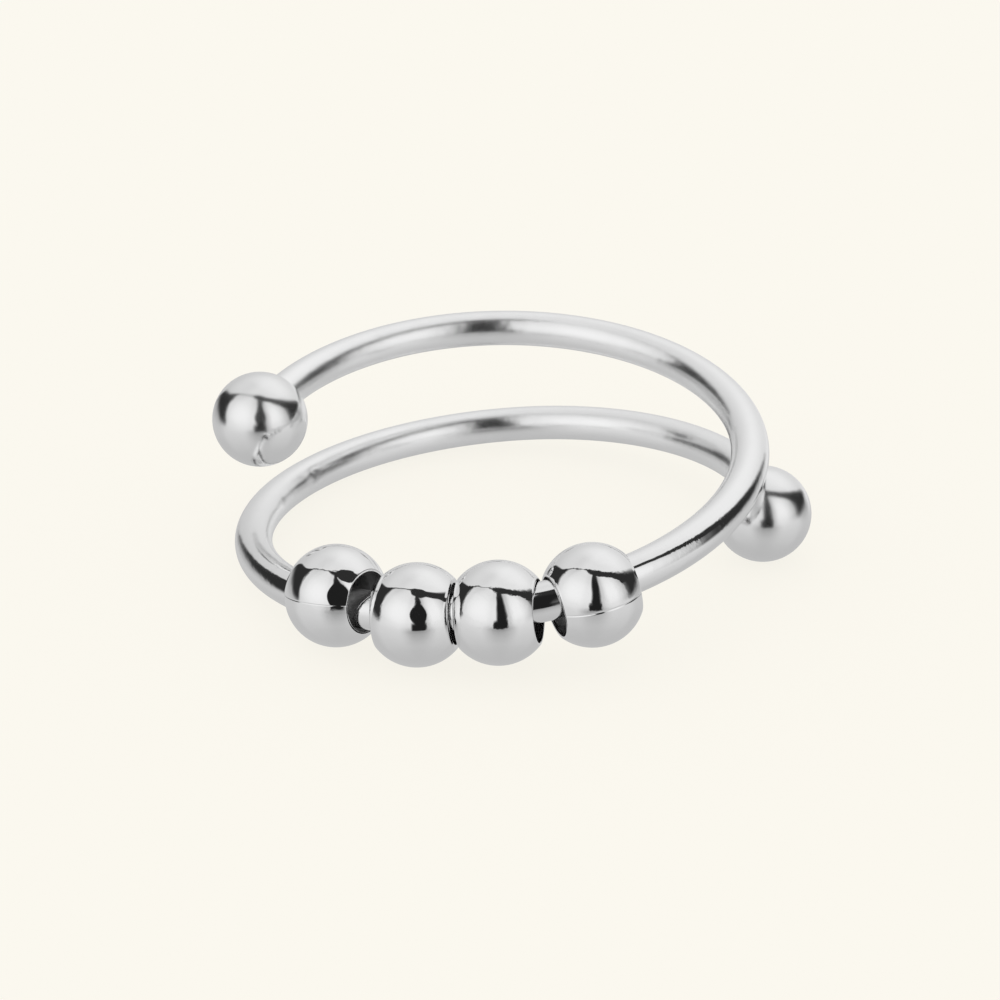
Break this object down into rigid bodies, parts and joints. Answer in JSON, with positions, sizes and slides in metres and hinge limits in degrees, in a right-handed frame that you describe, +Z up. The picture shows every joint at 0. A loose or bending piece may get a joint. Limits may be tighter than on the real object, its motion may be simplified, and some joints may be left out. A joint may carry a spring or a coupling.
{
  "type": "spinner ring",
  "caption": "Adjustable open spiral ring of round wire with a ball on each end and loose hollow beads that spin on its front.",
  "frame": {"origin": "middle of the ring's plan, on the surface that it lies on", "axes": "+Z up from the surface, -Y towards the viewer and the beads, +X to the viewer's right"},
  "size_m": [0.025, 0.0242, 0.0072],
  "materials": {
    "wire_metal": "bright silver-tone plating, polished",
    "bead_metal": "bright silver-tone plating, mirror polished, with a fine seam"
  },
  "bodies": {
    "ring_wire": {"ring_wire": "wire_metal"},
    "bead_1": {"bead_1": "bead_metal"},
    "bead_2": {"bead_2": "bead_metal"},
    "bead_3": {"bead_3": "bead_metal"},
    "bead_4": {"bead_4": "bead_metal"}
  },
  "joints": [
    {"name": "bead_1_spin", "type": "hinge", "parent": "ring_wire", "child": "bead_1", "pos_m": [-0.00673, -0.00788, 0.002], "axis": [0.8113, -0.5745, 0.1081], "continuous": true},
    {"name": "bead_2_spin", "type": "hinge", "parent": "ring_wire", "child": "bead_2", "pos_m": [-0.00355, -0.00956, 0.002], "axis": [0.9813, -0.1635, 0.1014], "continuous": true},
    {"name": "bead_3_spin", "type": "hinge", "parent": "ring_wire", "child": "bead_3", "pos_m": [-0.00046, -0.01008, 0.00232], "axis": [0.9813, -0.1635, 0.1014], "continuous": true},
    {"name": "bead_4_spin", "type": "hinge", "parent": "ring_wire", "child": "bead_4", "pos_m": [0.00309, -0.00948, 0.00273], "axis": [0.932, 0.3315, 0.1466], "continuous": true}
  ]
}
